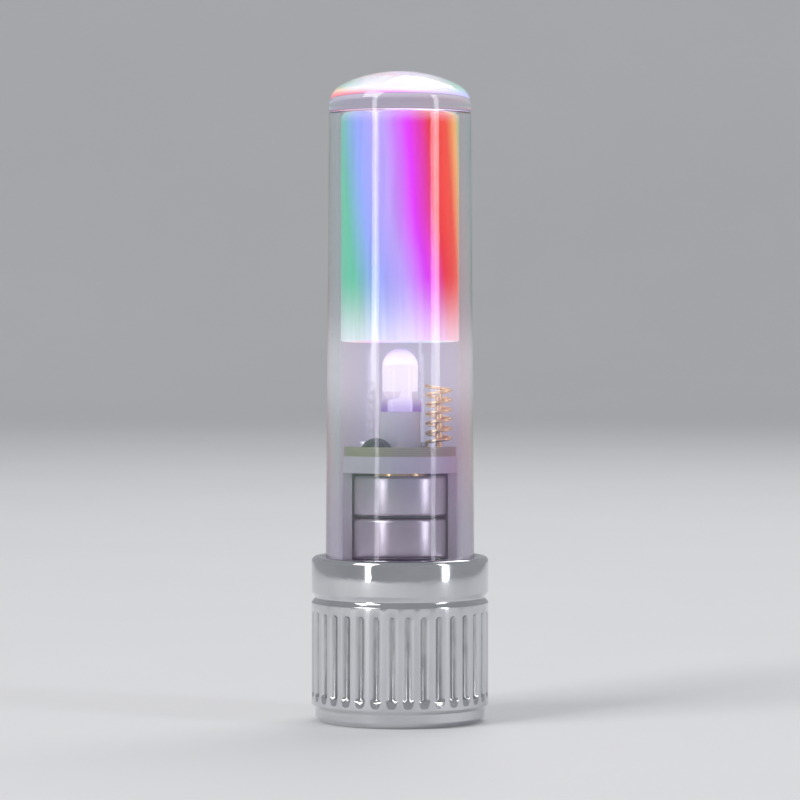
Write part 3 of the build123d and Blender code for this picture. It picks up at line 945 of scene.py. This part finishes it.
def tinnedSteel():
    bright, dark = (0.72, 0.72, 0.72), (0.58, 0.58, 0.59)
    paint = Paint("tinnedSteel")
    drawn = paint.noise(scale=6.0, detail=3.0, stretch=(3.0, 3.0, 0.3))
    return paint.surface({
        "Base Color": paint.mix(drawn, bright, dark),
        "Metallic": 1.0,
        "Roughness": 0.22 + drawn * 0.14,
    })


lampLook = {
    "heart": (28.0, 30.5, 1.6),  # heights of the bright middle, and how far it fades
    "foot": (0.30, 0.14, 0.60),
    "middle": (1.0, 0.90, 1.0),
    "strength": 0.25,
    "dies": [(0.0, (1.0, 0.12, 0.2)), (0.5, (0.5, 1.0, 0.75)), (1.0, (0.35, 0.4, 1.0))],
    "rowStart": -0.75,  # where the row of dies begins, along X
    "rowLength": 0.68,
    "dieWhite": 0.5,
    "dieStrength": 2.6,
}


def lampEpoxy():
    s = lampLook
    paint = Paint("lampEpoxy")
    swirl = paint.noise(scale=0.9, detail=3.0)
    heart = paint.height().band(*s["heart"])
    return paint.surface({
        "Base Color": (0.98, 0.97, 1.0),
        "Roughness": 0.03 + swirl * 0.04,
        "IOR": 1.53,
        "Transmission Weight": 1.0,
        "Emission Color": paint.mix(heart, s["foot"], s["middle"]),
        "Emission Strength": s["strength"],
    })


def litDie():
    # red, green and blue dies side by side
    s = lampLook
    paint = Paint("litDie")
    across = (paint.xyz()[0] - s["rowStart"]) / s["rowLength"]
    colour = paint.node("ValToRGB", {"stops": s["dies"]}, {0: across})
    return paint.surface({
        "Base Color": (0.9, 0.9, 0.9),
        "Roughness": 0.3,
        "Emission Color": paint.mix(s["dieWhite"], colour, (1.0, 1.0, 1.0)),
        "Emission Strength": s["dieStrength"],
    })


nodeFinishes = {
    "cell_carrier": white,
    "led_spacer": white,
    "negative_strap": gold,
    "positive_contact": gold,
    "motion_pin": gold,
    "cell_gaskets": nylonGasket(),
    "circuit_board": greenBoard(),
    "solder_joints": solder,
    "controller_blob": blackEpoxy(),
    "chip_resistors": chipBody("blackChip", (0.02, 0.02, 0.024), (0.05, 0.05, 0.055)),
    "chip_capacitor": chipBody("tanChip", (0.42, 0.30, 0.19), (0.55, 0.42, 0.28)),
    "led_leads": tinnedSteel(),
    "led_dies": litDie(),
    "led_body": lampEpoxy(),
}
for name, material in nodeFinishes.items():
    dressNode(name, material)
print("nodes dressed")


# Stage, in metres: a pale round floor with a low curved rim, soft lights and the camera

floorSizes = {"radius": 0.8, "bend": 0.3, "bendSteps": 16, "height": 0.25, "steps": 96}

lamps = {
    "keyLight": {
        "place": (-0.4, -0.3, 0.45), "target": (0, 0, 0.03), "size": (0.3, 0.3),
        "power": 1.6, "colour": (1, 0.985, 0.96),
    },
    "fillLight": {
        "place": (0.45, -0.25, 0.2), "target": (0, 0, 0.1), "size": (0.08, 0.4),
        "power": 0.5, "colour": (0.94, 0.97, 1),
    },
    "stripLight": {
        "place": (-0.4, -0.45, 0.2), "target": (0, 0, 0.1), "size": (0.08, 0.4),
        "power": 0.5, "colour": (1, 1, 1),
    },
    "backLight": {
        "place": (0.15, 0.35, 0.5), "target": (0, 0, 0.03), "size": (0.4, 0.3),
        "power": 1.0, "colour": (1, 1, 1),
    },
}

room = {"colour": (0.80, 0.82, 0.86), "strength": 0.45}

sight = {
    "target": (0, 0, 0.0272),
    "distance": 0.32,
    "elevation": 1.5,  # degrees
    "focal": 170,  # millimetres
    "nearest": 0.01,
}


def palePaper():
    dark, light = (0.80, 0.80, 0.81), (0.84, 0.84, 0.85)
    paint = Paint("paleFloor")
    mottle = paint.noise(scale=0.02, detail=3.0)
    return paint.surface({
        "Base Color": paint.mix(mottle, dark, light),
        "Roughness": 0.7,
    })


def makeFloor():
    s = floorSizes
    mesh = bmesh.new()
    centre = mesh.verts.new((0, 0, 0))
    rim = mesh.verts.new((s["radius"], 0, 0))
    mesh.edges.new((centre, rim))
    bend = bmesh.ops.spin(
        mesh, geom=[rim], cent=(s["radius"], 0, s["bend"]), axis=(0, -1, 0), angle=math.pi / 2,
        steps=s["bendSteps"], use_duplicate=False,
    )
    bendTop = cornersIn(bend["geom_last"])
    top = bmesh.ops.extrude_vert_indiv(mesh, verts=bendTop)["verts"]
    bmesh.ops.translate(mesh, verts=top, vec=(0, 0, s["height"]))
    bmesh.ops.spin(
        mesh, geom=mesh.verts[:] + mesh.edges[:], cent=(0, 0, 0), axis=(0, 0, 1),
        angle=fullTurn, steps=s["steps"], use_merge=True, use_duplicate=False,
    )
    bmesh.ops.remove_doubles(mesh, verts=mesh.verts, dist=weldDistance)
    bmesh.ops.recalc_face_normals(mesh, faces=mesh.faces)
    for face in mesh.faces:
        face.smooth = True
    data = bpy.data.meshes.new("paleFloor")
    mesh.to_mesh(data)
    mesh.free()
    data.materials.append(palePaper())
    floor = bpy.data.objects.new("paleFloor", data)
    scene.collection.objects.link(floor)


def facing(place, target):
    return (Vector(target) - Vector(place)).to_track_quat("-Z", "Y").to_euler()


def softLight(name, settings):
    lamp = bpy.data.lights.new(name, "AREA")
    lamp.shape = "RECTANGLE"
    lamp.size, lamp.size_y = settings["size"]
    lamp.energy = settings["power"]
    lamp.color = settings["colour"]
    holder = bpy.data.objects.new(name, lamp)
    holder.location = settings["place"]
    holder.visible_camera = False
    holder.rotation_euler = facing(settings["place"], settings["target"])
    scene.collection.objects.link(holder)


def setWorld():
    world = bpy.data.worlds.new("paleRoom")
    scene.world = world
    world.use_nodes = True
    background = world.node_tree.nodes["Background"]
    background.inputs["Color"].default_value = (*room["colour"], 1)
    background.inputs["Strength"].default_value = room["strength"]


def setCamera():
    tilt = math.radians(sight["elevation"])
    target = Vector(sight["target"])
    place = target + Vector((0, -math.cos(tilt), math.sin(tilt))) * sight["distance"]
    camera = bpy.data.cameras.new("camera")
    camera.lens = sight["focal"]
    camera.clip_start = sight["nearest"]
    holder = bpy.data.objects.new("camera", camera)
    holder.location = place
    holder.rotation_euler = facing(place, target)
    scene.collection.objects.link(holder)
    scene.camera = holder


makeFloor()
setWorld()
for name, settings in lamps.items():
    softLight(name, settings)
setCamera()
scene.view_settings.view_transform = "Standard"
print("stage, lights and camera set")
